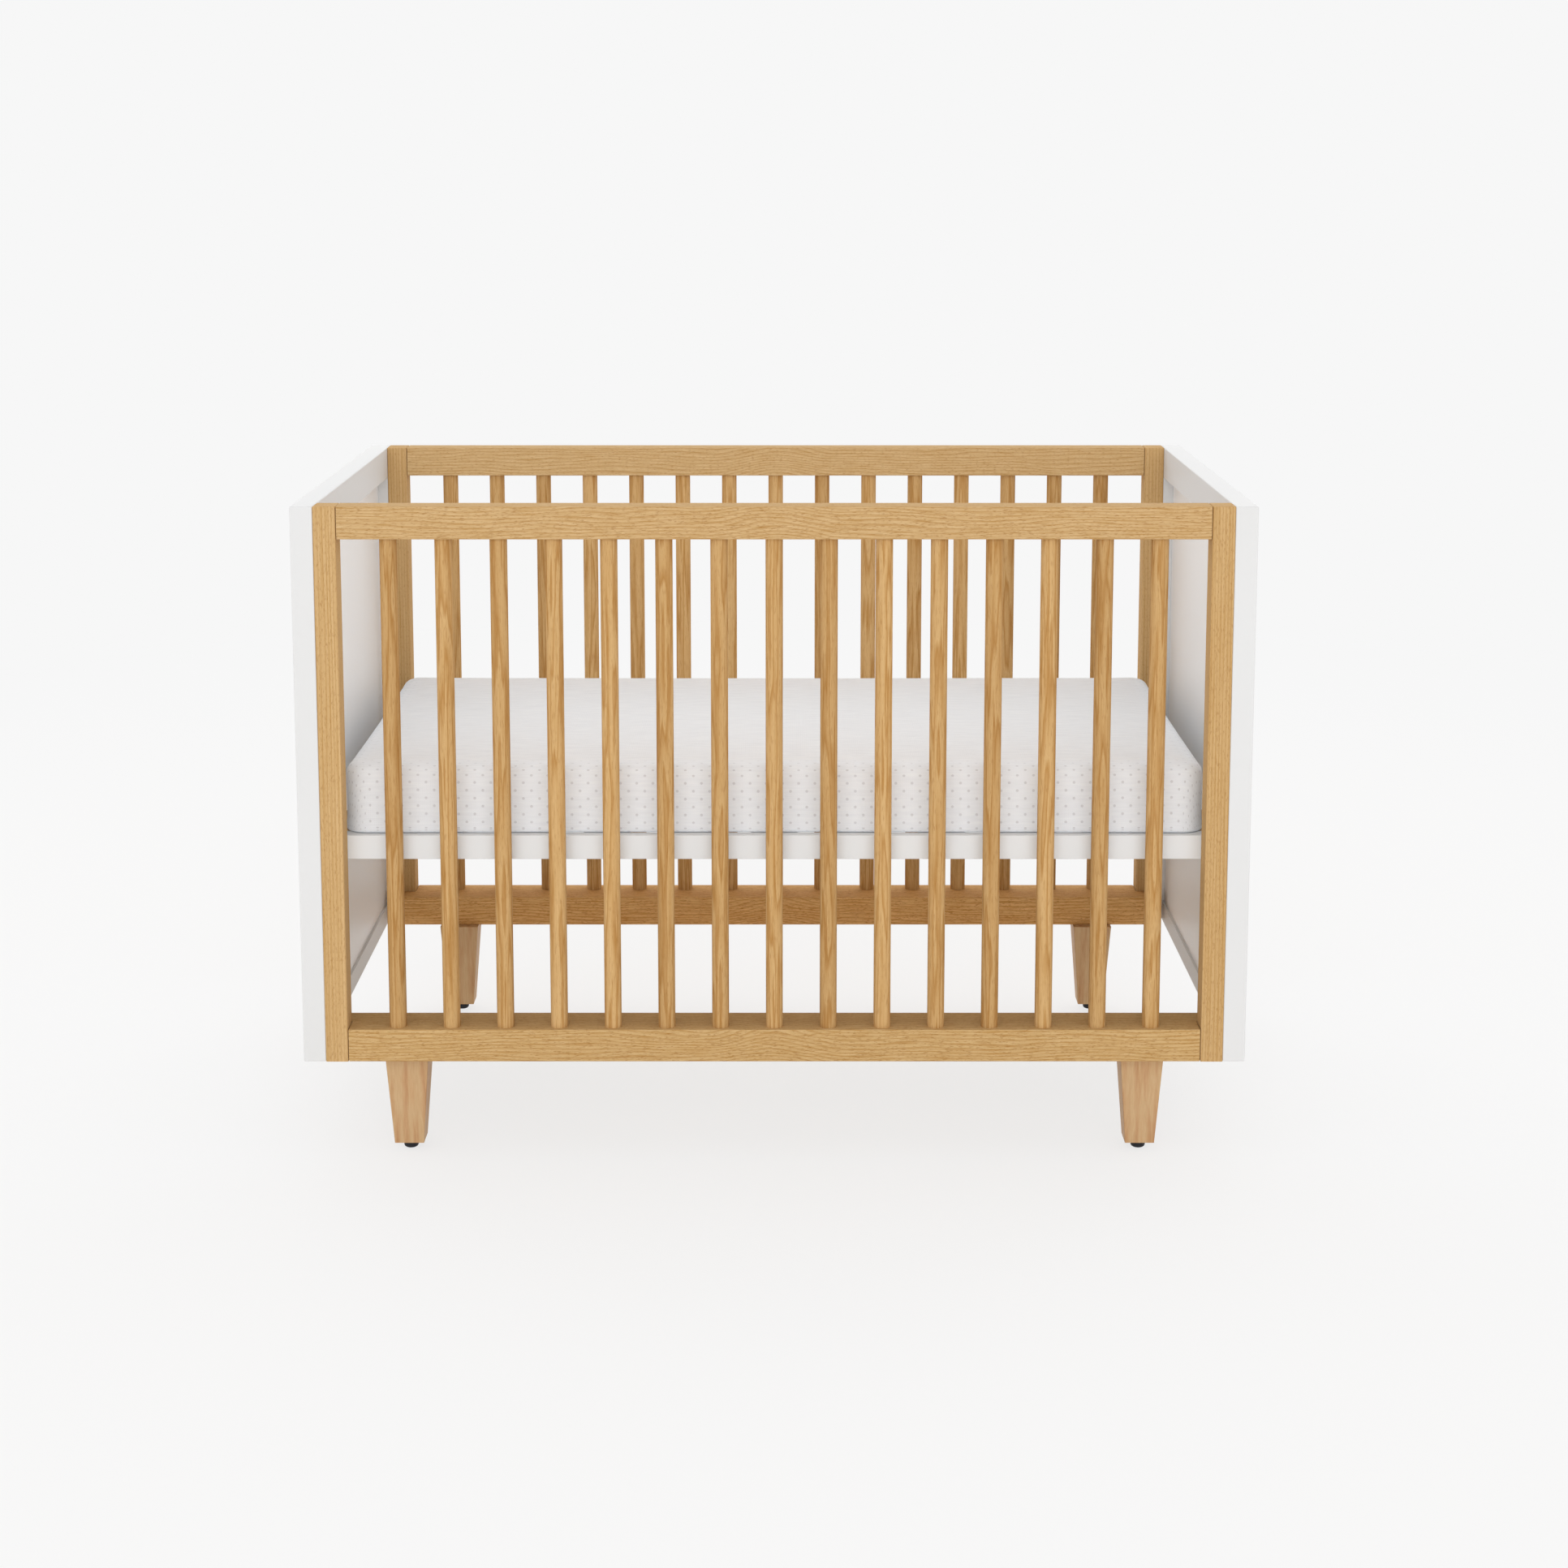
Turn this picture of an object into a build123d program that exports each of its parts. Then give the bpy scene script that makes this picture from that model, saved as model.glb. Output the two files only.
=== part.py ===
from build123d import *
import os

os.makedirs("parts", exist_ok=True)

# Baby crib: two slatted oak sides, white end frames, short legs and a height-adjustable mattress base.
# All sizes are in millimetres. X runs along the crib, Y from front to rear, Z up from the floor.

# Space inside the crib
interior_length = 1330.0
interior_width = 711.0

# Side frames: posts and rails
frame_height = 831.0
post_width = 33.0
post_depth = 41.0
top_rail_height = 48.0
bottom_rail_height = 49.0
bottom_rail_depth = 81.0
oak_softening = 1.5
rail_joint_width = 1.2
rail_joint_depth = 4.0

# Slats and their stub tenons
slat_count = 15
slat_width = 25.0
slat_depth = 28.0
slat_corner_radius = 12.0
slat_end_gap = 60.0
tenon_width = 14.0
tenon_depth = 16.0
tenon_length = 12.0
tenon_clearance = 0.2

# End frames with their inset panels
end_thickness = 33.0
end_top_rail_height = 51.5
end_bottom_rail_height = 31.0
end_softening = 2.0
end_rail_setback = 12.5
end_joint_height = 53.0
end_joint_width = 1.2
end_joint_depth = 1.0
inset_setback = 17.0
inset_thickness = 9.0
inset_tongue = 8.0
inset_clearance = 0.2

# Legs and levelling feet
leg_height = 142.0
leg_top_width = 65.0
leg_foot_width = 44.0
leg_softening = 1.5
leg_inset_x = 115.0
leg_setback = 64.0
foot_diameter = 22.0
foot_height = 13.0
foot_rounding = 4.5
foot_stud_diameter = 8.0
foot_stud_length = 32.0
foot_stud_clearance = 0.3

# Mattress base
base_height = 36.0
base_bottom = 452.5
base_side_gap = 2.0
base_end_gap = 2.0
base_rail_thickness = 20.0
base_end_rail_inset = 45.0
base_slat_count = 11
base_slat_width = 70.0
base_slat_thickness = 12.0
base_slat_bearing = 10.0
base_slat_clearance = 0.3
base_slat_end_margin = 6.0
base_softening = 1.5
base_step = 84.0
base_positions = 3

# Mattress in its fitted sheet
mattress_end_gap = 20.0
mattress_side_gap = 9.5
mattress_height = 105.0
mattress_crown = 5.0
mattress_draw_in = 10.0
mattress_corner_radius = 34.0
mattress_top_radius = 16.0
mattress_bottom_radius = 9.0
mattress_rest_gap = 0.3

# Corner bolts and barrel nuts
bolt_diameter = 8.0
bolt_head_diameter = 13.0
bolt_head_height = 8.0
bolt_key_width = 6.0
bolt_key_depth = 4.0
bolt_clearance = 0.3
bolt_sink = 1.5
bolt_past_nut = 6.0
nut_diameter = 14.0
nut_length = 22.0
nut_setback = 30.0
nut_clearance = 0.2

# Leg bolts
leg_bolt_diameter = 10.0
leg_bolt_reach = 34.0
leg_bolt_clearance = 0.2

# Base bolts and the threaded inserts that take them
base_bolt_diameter = 6.0
base_bolt_head_diameter = 12.0
base_bolt_head_height = 4.0
base_bolt_key_width = 4.0
base_bolt_key_depth = 2.5
base_bolt_clearance = 0.3
base_bolt_tip_gap = 0.3
insert_diameter = 10.0
insert_length = 14.0
insert_clearance = 0.1

# Levels and positions that follow from the sizes above
frame_bottom = foot_height + leg_height
frame_top = frame_bottom + frame_height
overall_width = interior_width + 2 * post_depth
post_x = interior_length / 2 - post_width / 2
post_y = interior_width / 2 + post_depth / 2
rail_length = interior_length - 2 * post_width
top_rail_bottom = frame_top - top_rail_height
bottom_rail_top = frame_bottom + bottom_rail_height
slat_pitch = (rail_length - 2 * slat_end_gap - slat_width) / (slat_count - 1)
slat_length = top_rail_bottom - bottom_rail_top
end_x = interior_length / 2
leg_x = interior_length / 2 - leg_inset_x
leg_y = overall_width / 2 - leg_setback
upper_bolt_z = frame_top - top_rail_height / 2
lower_bolt_z = frame_bottom + bottom_rail_height / 2
nut_x = rail_length / 2 - nut_setback
mortise_depth = tenon_length + tenon_clearance
bolt_hole_depth = nut_setback + bolt_past_nut + bolt_clearance
base_top = base_bottom + base_height
base_length = interior_length - 2 * base_end_gap
base_width = interior_width - 2 * base_side_gap
base_rail_y = base_width / 2 - base_rail_thickness / 2
base_slat_bottom = base_top - base_slat_thickness
base_slat_pitch = (base_length - 2 * base_slat_end_margin - base_slat_width) / (base_slat_count - 1)
base_bolt_z = (base_bottom + base_slat_bottom) / 2
base_bolt_levels = [base_bolt_z - step * base_step for step in range(base_positions)]
mattress_bottom = base_top + mattress_rest_gap
mattress_length = interior_length - 2 * mattress_end_gap
mattress_width = interior_width - 2 * mattress_side_gap

LEFT, RIGHT = -1, 1
FRONT, REAR = -1, 1
SIDES = {"front": FRONT, "rear": REAR}
ENDS = {"left": LEFT, "right": RIGHT}


def save(piece, name):
    """Label a finished piece and write it to its own file."""
    piece.part.label = name
    export_step(piece.part, f"parts/{name}.step")


def corner_positions(x, y):
    """The four corners of a rectangle about the crib's middle."""
    return [(end * x, side * y) for side in SIDES.values() for end in ENDS.values()]


def corner_bolt_positions():
    """Where the corner bolts pass through one end frame, in the YZ plane."""
    return [(side * post_y, z) for side in SIDES.values() for z in (lower_bolt_z, upper_bolt_z)]


def slat_positions(y):
    """Middle of each slat in one side, in plan."""
    first = -(slat_count - 1) / 2 * slat_pitch
    return [(first + index * slat_pitch, y) for index in range(slat_count)]


def make_post(side, end):
    """Square oak post with softened edges, drilled for the corner bolts and the base inserts."""
    with BuildPart() as post:
        with BuildSketch(Plane.XY.offset(frame_bottom)):
            with Locations((end * post_x, side * post_y)):
                Rectangle(post_width, post_depth)
        extrude(amount=frame_height)
        fillet(post.edges().filter_by(Axis.Z), oak_softening)
        fillet(post.faces().sort_by(Axis.Z)[-1].edges(), oak_softening)
        with BuildSketch(Plane.YZ.offset(end * post_x)):
            with Locations((side * post_y, upper_bolt_z), (side * post_y, lower_bolt_z)):
                Circle(bolt_diameter / 2 + bolt_clearance)
        extrude(amount=post_width, both=True, mode=Mode.SUBTRACT)
        with BuildSketch(Plane.XZ.offset(-side * interior_width / 2)):
            with Locations(*[(end * post_x, level) for level in base_bolt_levels]):
                Circle(insert_diameter / 2 + insert_clearance)
        extrude(amount=-side * insert_length, mode=Mode.SUBTRACT)
    return post


def slat_mortises(side, level):
    """Outline of the slat mortises of one rail, on the face that the slats meet."""
    with BuildSketch(Plane.XY.offset(level)) as outline:
        with Locations(*slat_positions(side * post_y)):
            Rectangle(tenon_width + 2 * tenon_clearance, tenon_depth + 2 * tenon_clearance)
    return outline.sketch


def rail_bolt_hole(side, end, level):
    """Outline of the corner bolt's hole, on one end of a rail."""
    with BuildSketch(Plane.YZ.offset(end * rail_length / 2)) as outline:
        with Locations((side * post_y, level)):
            Circle(bolt_diameter / 2 + bolt_clearance)
    return outline.sketch


def barrel_nut_holes(side, level):
    """Outline of the two barrel nut holes, on the underside of a rail."""
    with BuildSketch(Plane.XY.offset(level)) as outline:
        with Locations((-nut_x, side * post_y), (nut_x, side * post_y)):
            Circle(nut_diameter / 2 + nut_clearance)
    return outline.sketch


def top_rail_joint(side, end):
    """Outline of the fine gap round one end of a top rail, where it meets the post."""
    with BuildSketch(Plane.YZ.offset(end * rail_length / 2)) as outline:
        with Locations((side * post_y, upper_bolt_z)):
            Rectangle(post_depth, top_rail_height)
            Rectangle(post_depth - 2 * rail_joint_depth, top_rail_height - 2 * rail_joint_depth,
                      mode=Mode.SUBTRACT)
    return outline.sketch


def bottom_rail_joint(side, end):
    """Outline of the fine gap where a bottom rail meets a post: its outer face, top and underside."""
    with BuildSketch(Plane.YZ.offset(end * rail_length / 2)) as outline:
        with Locations((side * post_y, lower_bolt_z)):
            Rectangle(post_depth, bottom_rail_height)
        with Locations((side * (post_y - rail_joint_depth / 2), lower_bolt_z)):
            Rectangle(post_depth - rail_joint_depth, bottom_rail_height - 2 * rail_joint_depth,
                      mode=Mode.SUBTRACT)
    return outline.sketch


def make_top_rail(side):
    """Oak top rail, butted between two posts, with softened edges and slat mortises below."""
    with BuildPart() as rail:
        with BuildSketch(Plane.XY.offset(top_rail_bottom)):
            with Locations((0, side * post_y)):
                Rectangle(rail_length, post_depth)
        extrude(amount=top_rail_height)
        fillet(rail.edges().filter_by(Axis.X), oak_softening)
        extrude(slat_mortises(side, top_rail_bottom), amount=mortise_depth, mode=Mode.SUBTRACT)
        for end in ENDS.values():
            extrude(top_rail_joint(side, end), amount=-end * rail_joint_width, mode=Mode.SUBTRACT)
            bolt_hole = rail_bolt_hole(side, end, upper_bolt_z)
            extrude(bolt_hole, amount=-end * bolt_hole_depth, mode=Mode.SUBTRACT)
        nut_hole_depth = upper_bolt_z + nut_length / 2 - top_rail_bottom
        extrude(barrel_nut_holes(side, top_rail_bottom), amount=nut_hole_depth, mode=Mode.SUBTRACT)
    return rail


def make_bottom_rail(side):
    """Wide oak bottom rail, notched round the posts, that also carries two legs."""
    middle_y = side * (overall_width / 2 - bottom_rail_depth / 2)
    with BuildPart() as rail:
        with BuildSketch(Plane.XY.offset(frame_bottom)):
            with Locations((0, middle_y)):
                Rectangle(interior_length, bottom_rail_depth)
            with Locations((-post_x, side * post_y), (post_x, side * post_y)):
                Rectangle(post_width, post_depth, mode=Mode.SUBTRACT)
        extrude(amount=bottom_rail_height)
        fillet(rail.edges().filter_by(Axis.X), oak_softening)
        extrude(slat_mortises(side, bottom_rail_top), amount=-mortise_depth, mode=Mode.SUBTRACT)
        for end in ENDS.values():
            extrude(bottom_rail_joint(side, end), amount=-end * rail_joint_width, mode=Mode.SUBTRACT)
            bolt_hole = rail_bolt_hole(side, end, lower_bolt_z)
            extrude(bolt_hole, amount=-end * bolt_hole_depth, mode=Mode.SUBTRACT)
        nut_hole_depth = lower_bolt_z + nut_length / 2 - frame_bottom
        extrude(barrel_nut_holes(side, frame_bottom), amount=nut_hole_depth, mode=Mode.SUBTRACT)
        with BuildSketch(Plane.XY.offset(frame_bottom)):
            with Locations((-leg_x, side * leg_y), (leg_x, side * leg_y)):
                Circle(leg_bolt_diameter / 2 + leg_bolt_clearance)
        extrude(amount=leg_bolt_reach + leg_bolt_clearance, mode=Mode.SUBTRACT)
    return rail


def make_slat(x, y):
    """Oak slat with rounded corners and a stub tenon at each end."""
    with BuildPart() as slat:
        with BuildSketch(Plane.XY.offset(bottom_rail_top)):
            with Locations((x, y)):
                RectangleRounded(slat_width, slat_depth, slat_corner_radius)
        extrude(amount=slat_length)
        with BuildSketch(Plane.XY.offset(bottom_rail_top - tenon_length)):
            with Locations((x, y)):
                Rectangle(tenon_width, tenon_depth)
        extrude(amount=slat_length + 2 * tenon_length)
    return slat


def make_end_frame(end):
    """White end frame: a ring whose low bottom rail is set back, grooved for its panel, sunk for the bolts.
    A fine line across each stile marks the joint with its foot."""
    inner = end * end_x
    window_top = frame_top - end_top_rail_height
    window_bottom = frame_bottom + end_bottom_rail_height
    window_height = window_top - window_bottom
    window_middle = (window_top + window_bottom) / 2
    with BuildPart() as ring:
        with BuildSketch(Plane.YZ.offset(inner)):
            with Locations((0, frame_bottom + frame_height / 2)):
                Rectangle(overall_width, frame_height)
        extrude(amount=end * end_thickness)
        fillet(ring.edges(), end_softening)
        with BuildSketch(Plane.YZ.offset(inner)):
            with Locations((0, window_top)):
                Rectangle(interior_width, window_top - frame_bottom, align=(Align.CENTER, Align.MAX))
        extrude(amount=end * end_rail_setback, mode=Mode.SUBTRACT)
        with BuildSketch(Plane.YZ.offset(inner)):
            with Locations((0, window_middle)):
                Rectangle(interior_width, window_height)
        extrude(amount=end * end_thickness, mode=Mode.SUBTRACT)
        with BuildSketch(Plane.YZ.offset(inner + end * (inset_setback - inset_clearance))):
            with Locations((0, window_middle)):
                groove = 2 * (inset_tongue + inset_clearance)
                Rectangle(interior_width + groove, window_height + groove)
        extrude(amount=end * (inset_thickness + 2 * inset_clearance), mode=Mode.SUBTRACT)
        with BuildSketch(Plane.YZ.offset(inner)):
            with Locations((0, frame_bottom + end_joint_height)):
                Rectangle(interior_width + 2 * end_joint_depth, end_joint_width)
        extrude(amount=end * inset_setback, mode=Mode.SUBTRACT)
        with BuildSketch(Plane.YZ.offset(inner)):
            with Locations(*corner_bolt_positions()):
                Circle(bolt_diameter / 2 + bolt_clearance)
        extrude(amount=end * end_thickness, mode=Mode.SUBTRACT)
        with BuildSketch(Plane.YZ.offset(inner + end * end_thickness)):
            with Locations(*corner_bolt_positions()):
                Circle(bolt_head_diameter / 2 + bolt_clearance)
        extrude(amount=-end * (bolt_head_height + bolt_sink), mode=Mode.SUBTRACT)
    return ring


def make_inset_panel(end):
    """Thin white panel whose tongue sits in the end frame's groove."""
    window_top = frame_top - end_top_rail_height + inset_tongue
    window_bottom = frame_bottom + end_bottom_rail_height - inset_tongue
    with BuildPart() as panel:
        with BuildSketch(Plane.YZ.offset(end * (end_x + inset_setback))):
            with Locations((0, window_bottom)):
                Rectangle(interior_width + 2 * inset_tongue, window_top - window_bottom,
                          align=(Align.CENTER, Align.MIN))
        extrude(amount=end * inset_thickness)
    return panel


def make_leg(side, end):
    """Tapered square leg, drilled above for its bolt and below for the stud of its foot."""
    x, y = end * leg_x, side * leg_y
    with BuildPart() as leg:
        with BuildSketch(Plane.XY.offset(foot_height)):
            with Locations((x, y)):
                Rectangle(leg_foot_width, leg_foot_width)
        with BuildSketch(Plane.XY.offset(frame_bottom)):
            with Locations((x, y)):
                Rectangle(leg_top_width, leg_top_width)
        loft(ruled=True)
        upright_edges = leg.edges().filter_by(lambda edge: abs(edge.tangent_at(0.5).Z) > 0.5)
        fillet(upright_edges, leg_softening)
        with BuildSketch(Plane.XY.offset(frame_bottom)):
            with Locations((x, y)):
                Circle(leg_bolt_diameter / 2 + leg_bolt_clearance)
        extrude(amount=-(leg_bolt_reach + leg_bolt_clearance), mode=Mode.SUBTRACT)
        with BuildSketch(Plane.XY.offset(foot_height)):
            with Locations((x, y)):
                Circle(foot_stud_diameter / 2 + foot_stud_clearance)
        extrude(amount=foot_stud_length + foot_stud_clearance, mode=Mode.SUBTRACT)
    return leg


def make_foot(side, end):
    """Levelling foot: a round glide with a rolled lower edge on a threaded stud."""
    x, y = end * leg_x, side * leg_y
    glide_radius = foot_diameter / 2
    stud_radius = foot_stud_diameter / 2
    stud_top = foot_height + foot_stud_length
    with BuildPart() as foot:
        with BuildSketch(Plane(origin=(x, y, 0), x_dir=(1, 0, 0), z_dir=(0, -1, 0))):
            with BuildLine():
                Polyline(
                    (0, 0),
                    (glide_radius, 0),
                    (glide_radius, foot_height),
                    (stud_radius, foot_height),
                    (stud_radius, stud_top),
                    (0, stud_top),
                    close=True,
                )
            make_face()
        revolve(axis=Axis((x, y, 0), (0, 0, 1)))
        fillet(foot.edges().group_by(Axis.Z)[0], foot_rounding)
    return foot


def make_base_side_rail(side):
    """Long rail of the mattress base, with a pocket for each base slat, drilled for two bolts."""
    outer = side * base_width / 2
    with BuildPart() as rail:
        with BuildSketch(Plane.XY.offset(base_bottom)):
            with Locations((0, side * base_rail_y)):
                Rectangle(base_length, base_rail_thickness)
        extrude(amount=base_height)
        fillet(rail.edges(), base_softening)
        with BuildSketch(Plane.XY.offset(base_slat_bottom)):
            with Locations((0, outer - side * (base_rail_thickness - base_slat_bearing / 2))):
                with GridLocations(base_slat_pitch, 0, base_slat_count, 1):
                    Rectangle(base_slat_width + 2 * base_slat_clearance, base_slat_bearing)
        extrude(amount=base_slat_thickness, mode=Mode.SUBTRACT)
        with BuildSketch(Plane.XZ.offset(-outer)):
            with Locations((-post_x, base_bolt_z), (post_x, base_bolt_z)):
                Circle(base_bolt_diameter / 2 + base_bolt_clearance)
        extrude(amount=side * base_rail_thickness, mode=Mode.SUBTRACT)
    return rail


def make_base_end_rail(end):
    """Cross rail of the mattress base, under the slats and between the two long rails."""
    x = end * (base_length / 2 - base_end_rail_inset - base_rail_thickness / 2)
    with BuildPart() as rail:
        with BuildSketch(Plane.XY.offset(base_bottom)):
            with Locations((x, 0)):
                Rectangle(base_rail_thickness, base_width - 2 * base_rail_thickness)
        extrude(amount=base_slat_bottom - base_bottom)
        fillet(rail.edges().filter_by(Axis.Y), base_softening)
    return rail


def make_base_slats():
    """Beech slats laid across the base in the pockets of its long rails."""
    slat_span = base_width - 2 * (base_rail_thickness - base_slat_bearing) - 2 * base_slat_clearance
    with BuildPart() as slats:
        with BuildSketch(Plane.XY.offset(base_slat_bottom)):
            with GridLocations(base_slat_pitch, 0, base_slat_count, 1):
                Rectangle(base_slat_width, slat_span)
        extrude(amount=base_slat_thickness)
    return slats


def make_bolt(seat, head_diameter, head_height, key_width, key_depth, diameter, length):
    """Socket-head bolt along a plane's normal: its head behind the plane, its shank in front."""
    with BuildPart() as bolt:
        with BuildSketch(seat):
            Circle(diameter / 2)
        extrude(amount=length)
        with BuildSketch(seat):
            Circle(head_diameter / 2)
        extrude(amount=-head_height)
        with BuildSketch(seat.offset(-head_height)):
            RegularPolygon(key_width / 2, 6, major_radius=False)
        extrude(amount=key_depth, mode=Mode.SUBTRACT)
    return bolt.part


def make_barrel_nut(x, y, z):
    """Upright barrel nut with its cross hole along the crib."""
    with BuildPart() as nut:
        with BuildSketch(Plane.XY.offset(z)):
            with Locations((x, y)):
                Circle(nut_diameter / 2)
        extrude(amount=nut_length / 2, both=True)
        with BuildSketch(Plane.YZ.offset(x)):
            with Locations((y, z)):
                Circle(bolt_diameter / 2 + bolt_clearance)
        extrude(amount=nut_diameter, both=True, mode=Mode.SUBTRACT)
    return nut.part


def make_corner_bolts():
    """The bolts that clamp each end frame to the posts and rails, with their barrel nuts."""
    seat_x = end_x + end_thickness - bolt_head_height - bolt_sink
    shank = seat_x - nut_x + bolt_past_nut
    pieces = []
    for end in ENDS.values():
        for y, z in corner_bolt_positions():
            seat = Plane(origin=(end * seat_x, y, z), z_dir=(-end, 0, 0))
            pieces.append(make_bolt(seat, bolt_head_diameter, bolt_head_height, bolt_key_width,
                                    bolt_key_depth, bolt_diameter, shank))
            pieces.append(make_barrel_nut(end * nut_x, y, z))
    with BuildPart() as bolts:
        add(pieces)
    return bolts


def make_leg_bolts():
    """Double-ended bolts, half in each leg and half in the bottom rail above it."""
    with BuildPart() as bolts:
        with BuildSketch(Plane.XY.offset(frame_bottom)):
            with Locations(*corner_positions(leg_x, leg_y)):
                Circle(leg_bolt_diameter / 2)
        extrude(amount=leg_bolt_reach, both=True)
    return bolts


def make_base_bolts():
    """Bolts through the long rails of the base, backed out to the faces of the posts."""
    seat_y = base_width / 2 - base_rail_thickness
    shank = interior_width / 2 - base_bolt_tip_gap - seat_y
    pieces = []
    for side in SIDES.values():
        for end in ENDS.values():
            seat = Plane(origin=(end * post_x, side * seat_y, base_bolt_z), z_dir=(0, side, 0))
            pieces.append(make_bolt(seat, base_bolt_head_diameter, base_bolt_head_height,
                                    base_bolt_key_width, base_bolt_key_depth, base_bolt_diameter, shank))
    with BuildPart() as bolts:
        add(pieces)
    return bolts


def make_height_inserts():
    """Threaded inserts in the posts, one row of four for each height of the base."""
    with BuildPart() as inserts:
        for side in SIDES.values():
            with BuildSketch(Plane.XZ.offset(-side * interior_width / 2)):
                with Locations(*[(end * post_x, z) for end in ENDS.values() for z in base_bolt_levels]):
                    Circle(insert_diameter / 2)
                    Circle(base_bolt_diameter / 2 + base_bolt_clearance, mode=Mode.SUBTRACT)
            extrude(amount=-side * insert_length)
    return inserts


def make_mattress():
    """Mattress in its fitted sheet: a low crown, sides drawn in between the corners and rolled edges."""
    x, y = mattress_length / 2, mattress_width / 2
    top = mattress_bottom + mattress_height
    shoulder = top - mattress_crown
    clear = top + mattress_crown
    with BuildPart() as mattress:
        with BuildSketch(Plane.XY.offset(mattress_bottom)) as plan:
            with BuildLine():
                ThreePointArc((-x, -y), (0, mattress_draw_in - y), (x, -y))
                ThreePointArc((x, -y), (x - mattress_draw_in, 0), (x, y))
                ThreePointArc((x, y), (0, y - mattress_draw_in), (-x, y))
                ThreePointArc((-x, y), (mattress_draw_in - x, 0), (-x, -y))
            make_face()
            fillet(plan.vertices(), mattress_corner_radius)
        extrude(amount=mattress_height)
        with BuildSketch(Plane.YZ):
            with BuildLine():
                ThreePointArc((-y, shoulder), (0, top), (y, shoulder))
                Polyline((y, shoulder), (y, clear), (-y, clear), (-y, shoulder))
            make_face()
        extrude(amount=mattress_length, both=True, mode=Mode.SUBTRACT)
        fillet(mattress.faces().sort_by(Axis.Z)[-1].edges(), mattress_top_radius)
        fillet(mattress.faces().sort_by(Axis.Z)[0].edges(), mattress_bottom_radius)
    return mattress


for side_name, side in SIDES.items():
    save(make_top_rail(side), f"{side_name}_top_rail")
    save(make_bottom_rail(side), f"{side_name}_bottom_rail")
    for number, (x, y) in enumerate(slat_positions(side * post_y), start=1):
        save(make_slat(x, y), f"{side_name}_slat_{number:02d}")
    for end_name, end in ENDS.items():
        save(make_post(side, end), f"{side_name}_{end_name}_post")
        save(make_leg(side, end), f"{side_name}_{end_name}_leg")
        save(make_foot(side, end), f"{side_name}_{end_name}_foot")
    save(make_base_side_rail(side), f"base_{side_name}_rail")

for end_name, end in ENDS.items():
    save(make_end_frame(end), f"{end_name}_end_frame")
    save(make_inset_panel(end), f"{end_name}_inset_panel")
    save(make_base_end_rail(end), f"base_{end_name}_rail")

save(make_base_slats(), "base_slats")
save(make_base_bolts(), "base_bolts")
save(make_height_inserts(), "height_inserts")
save(make_corner_bolts(), "corner_bolts")
save(make_leg_bolts(), "leg_bolts")
save(make_mattress(), "mattress")
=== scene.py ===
import math

import bmesh
import bpy
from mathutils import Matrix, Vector


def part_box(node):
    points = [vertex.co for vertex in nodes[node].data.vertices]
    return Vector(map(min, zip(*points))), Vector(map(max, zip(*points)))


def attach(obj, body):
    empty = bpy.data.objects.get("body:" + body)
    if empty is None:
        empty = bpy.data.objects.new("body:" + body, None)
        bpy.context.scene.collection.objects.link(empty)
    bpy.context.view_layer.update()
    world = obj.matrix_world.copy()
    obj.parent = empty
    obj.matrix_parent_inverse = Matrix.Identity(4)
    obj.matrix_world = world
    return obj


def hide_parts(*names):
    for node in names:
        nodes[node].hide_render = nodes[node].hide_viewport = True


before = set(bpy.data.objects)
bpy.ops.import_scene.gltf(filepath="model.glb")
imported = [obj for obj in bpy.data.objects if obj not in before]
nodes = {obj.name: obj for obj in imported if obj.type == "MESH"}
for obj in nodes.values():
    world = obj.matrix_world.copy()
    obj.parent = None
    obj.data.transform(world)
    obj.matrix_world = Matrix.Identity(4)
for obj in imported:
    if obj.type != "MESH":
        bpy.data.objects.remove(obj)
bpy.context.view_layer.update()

# Lengths are in metres, and MM turns a size written in millimetres into them.
MM = 0.001

# Camera: it stands in front of the crib, above the top rail, and looks a little down
camera_place = (14.3 * MM, -4283.7 * MM, 1510.4 * MM)
camera_tilt = math.radians(8.571)
camera_lens = 62.6
camera_sensor = 36.0
camera_shift = -0.15

# Light: an even white dome, and a soft lamp on each of the four sides of the crib
dome_strength = 0.64
front_lamp_strength = 1.20
front_lamp_height = math.radians(12)
front_lamp_spread = math.radians(60)
rear_lamp_strength = 1.15
side_lamp_strength = 0.40
other_lamp_height = math.radians(30)
other_lamp_spread = math.radians(90)

# Stage: a pale floor that glows near the crib and fades into the white backdrop further away
backdrop_white = "F7F7F7"
floor_white = "FAF9F8"
floor_side = 60.0
floor_glow = 0.78
floor_fade_start = 1.6
floor_fade_end = 4.2

# Mattress: a foam block in a tight fitted sheet, which swells a little between its corners
mattress_cell = 12 * MM
mattress_start_inset = 1.5 * MM
mattress_corner_radius = 34 * MM
mattress_corner_segments = 6
mattress_top_radius = 16 * MM
mattress_top_segments = 4
mattress_bottom_radius = 5 * MM
mattress_bottom_segments = 3
mattress_crown = 4 * MM
mattress_long_side_draw_in = 4.5 * MM
mattress_short_side_draw_in = 2 * MM
mattress_swell_cap = 3 * MM
mattress_pressure = 4.0
mattress_frames = 20
mattress_rest_height = 5 * MM


def colour(hex_code):
    """Linear colour of an sRGB hex code, with full opacity."""
    channels = [int(hex_code[i:i + 2], 16) / 255 for i in (0, 2, 4)]
    linear = [c / 12.92 if c <= 0.04045 else ((c + 0.055) / 1.055) ** 2.4 for c in channels]
    return (*linear, 1.0)


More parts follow.
